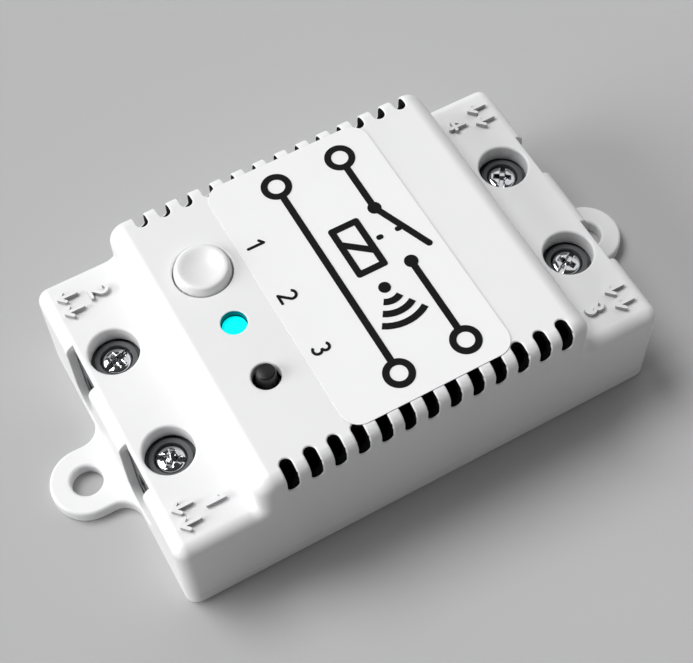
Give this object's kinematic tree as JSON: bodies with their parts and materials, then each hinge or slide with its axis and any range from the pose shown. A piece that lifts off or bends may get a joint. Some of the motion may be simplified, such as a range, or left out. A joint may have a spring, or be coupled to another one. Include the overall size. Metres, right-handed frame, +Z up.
{
  "type": "smart relay module",
  "caption": "White moulded relay module with screw terminals at both ends, a raised vented middle, a round button, a status lamp and fixing ears.",
  "frame": {"origin": "centre of the footprint on the flat underside", "axes": "+X from the OUT end to the IN end, +Y across the body, +Z up out of the label"},
  "size_m": [0.11, 0.0546, 0.0289],
  "materials": {
    "case": "clean white moulded ABS, fine satin texture",
    "label": "white film sticker, satin",
    "button_cap": "white moulded cap, satin",
    "black_plastic": "black moulded plastic",
    "terminal_plastic": "light grey moulded polyamide",
    "plated_steel": "bright zinc and nickel plated steel",
    "contact_brass": "tinned brass and spring bronze",
    "board": "green solder mask over glass fibre board",
    "copper_wire": "enamelled copper wire",
    "lamp": "clear moulded light pipe, lit cyan",
    "led": "moulded LED",
    "relay_shell": "blue moulded relay case",
    "relay_insulator": "dark moulded insulating plastic",
    "ferrite": "dark grey ferrite",
    "winding_tape": "yellow polyester tape over the turns",
    "can_sleeve": "dark film sleeve on an aluminium can",
    "film_box": "yellow moulded box"
  },
  "bodies": {
    "housing": {"base_plate": "case", "board_header": "black_plastic", "board_screws": "plated_steel", "bridge_rectifier": "black_plastic", "case_screws": "plated_steel", "choke_drum": "ferrite", "choke_winding": "copper_wire", "contact_strip_1": "contact_brass", "contact_strip_2": "contact_brass", "contact_strip_3": "contact_brass", "contact_strip_4": "contact_brass", "control_board": "board", "control_board_screws": "plated_steel", "film_capacitor": "film_box", "fuse": "black_plastic", "input_capacitor": "can_sleeve", "label": "label", "learn_switch": "black_plastic", "learn_switch_frame": "plated_steel", "light_pipe": "lamp", "main_board": "board", "output_capacitor": "can_sleeve", "pairing_switch": "black_plastic", "pairing_switch_frame": "plated_steel", "radio_board": "board", "radio_shield": "plated_steel", "relay_base": "relay_insulator", "relay_bobbin": "relay_insulator", "relay_case": "relay_shell", "relay_closed_contact": "contact_brass", "relay_core": "plated_steel", "relay_open_contact": "contact_brass", "relay_winding": "copper_wire", "relay_yoke": "plated_steel", "status_led": "led", "terminal_block_1": "terminal_plastic", "terminal_block_2": "terminal_plastic", "terminal_block_3": "terminal_plastic", "terminal_block_4": "terminal_plastic", "top_cover": "case", "transformer_core": "ferrite", "transformer_former": "relay_insulator", "transformer_turns": "winding_tape", "varistor": "black_plastic", "voltage_regulator": "black_plastic"},
    "learn_key": {"learn_button": "button_cap", "learn_plunger": "black_plastic"},
    "pairing_key": {"pairing_button": "black_plastic"},
    "armature": {"relay_armature": "plated_steel", "relay_contact_spring": "contact_brass"},
    "screw_1": {"terminal_screw_1": "plated_steel"},
    "clamp_1": {"clamp_cage_1": "plated_steel"},
    "screw_2": {"terminal_screw_2": "plated_steel"},
    "clamp_2": {"clamp_cage_2": "plated_steel"},
    "screw_3": {"terminal_screw_3": "plated_steel"},
    "clamp_3": {"clamp_cage_3": "plated_steel"},
    "screw_4": {"terminal_screw_4": "plated_steel"},
    "clamp_4": {"clamp_cage_4": "plated_steel"}
  },
  "joints": [
    {"name": "learn_press", "type": "slide", "parent": "housing", "child": "learn_key", "axis": [0, 0, -1], "range_m": [0, 0.0003], "stiffness_N_per_m": 5000},
    {"name": "pairing_press", "type": "slide", "parent": "housing", "child": "pairing_key", "axis": [0, 0, -1], "range_m": [0, 0.0003], "stiffness_N_per_m": 5000},
    {"name": "armature_pull", "type": "hinge", "parent": "housing", "child": "armature", "pos_m": [-0.0062, 0.013, 0.0176], "axis": [0, 1, 0], "range_deg": [0, 3.4], "stiffness_Nm_per_rad": 0.02, "springref_deg": -2.86},
    {"name": "screw_1_turn", "type": "hinge", "parent": "housing", "child": "screw_1", "pos_m": [-0.0365, -0.0101, 0.0146], "axis": [0, 0, -1], "range_deg": [0, 1368]},
    {"name": "clamp_1_lift", "type": "slide", "parent": "housing", "child": "clamp_1", "axis": [0, 0, 1], "range_m": [0, 0.0019]},
    {"name": "screw_2_turn", "type": "hinge", "parent": "housing", "child": "screw_2", "pos_m": [-0.0365, 0.0101, 0.0146], "axis": [0, 0, -1], "range_deg": [0, 1368]},
    {"name": "clamp_2_lift", "type": "slide", "parent": "housing", "child": "clamp_2", "axis": [0, 0, 1], "range_m": [0, 0.0019]},
    {"name": "screw_3_turn", "type": "hinge", "parent": "housing", "child": "screw_3", "pos_m": [0.0365, -0.0101, 0.0146], "axis": [0, 0, -1], "range_deg": [0, 1368]},
    {"name": "clamp_3_lift", "type": "slide", "parent": "housing", "child": "clamp_3", "axis": [0, 0, 1], "range_m": [0, 0.0019]},
    {"name": "screw_4_turn", "type": "hinge", "parent": "housing", "child": "screw_4", "pos_m": [0.0365, 0.0101, 0.0146], "axis": [0, 0, -1], "range_deg": [0, 1368]},
    {"name": "clamp_4_lift", "type": "slide", "parent": "housing", "child": "clamp_4", "axis": [0, 0, 1], "range_m": [0, 0.0019]}
  ],
  "couplings": [
    {"joint": "screw_1_turn", "follows": "clamp_1_lift", "rad_per_m": 12566},
    {"joint": "screw_2_turn", "follows": "clamp_2_lift", "rad_per_m": 12566},
    {"joint": "screw_3_turn", "follows": "clamp_3_lift", "rad_per_m": 12566},
    {"joint": "screw_4_turn", "follows": "clamp_4_lift", "rad_per_m": 12566}
  ]
}
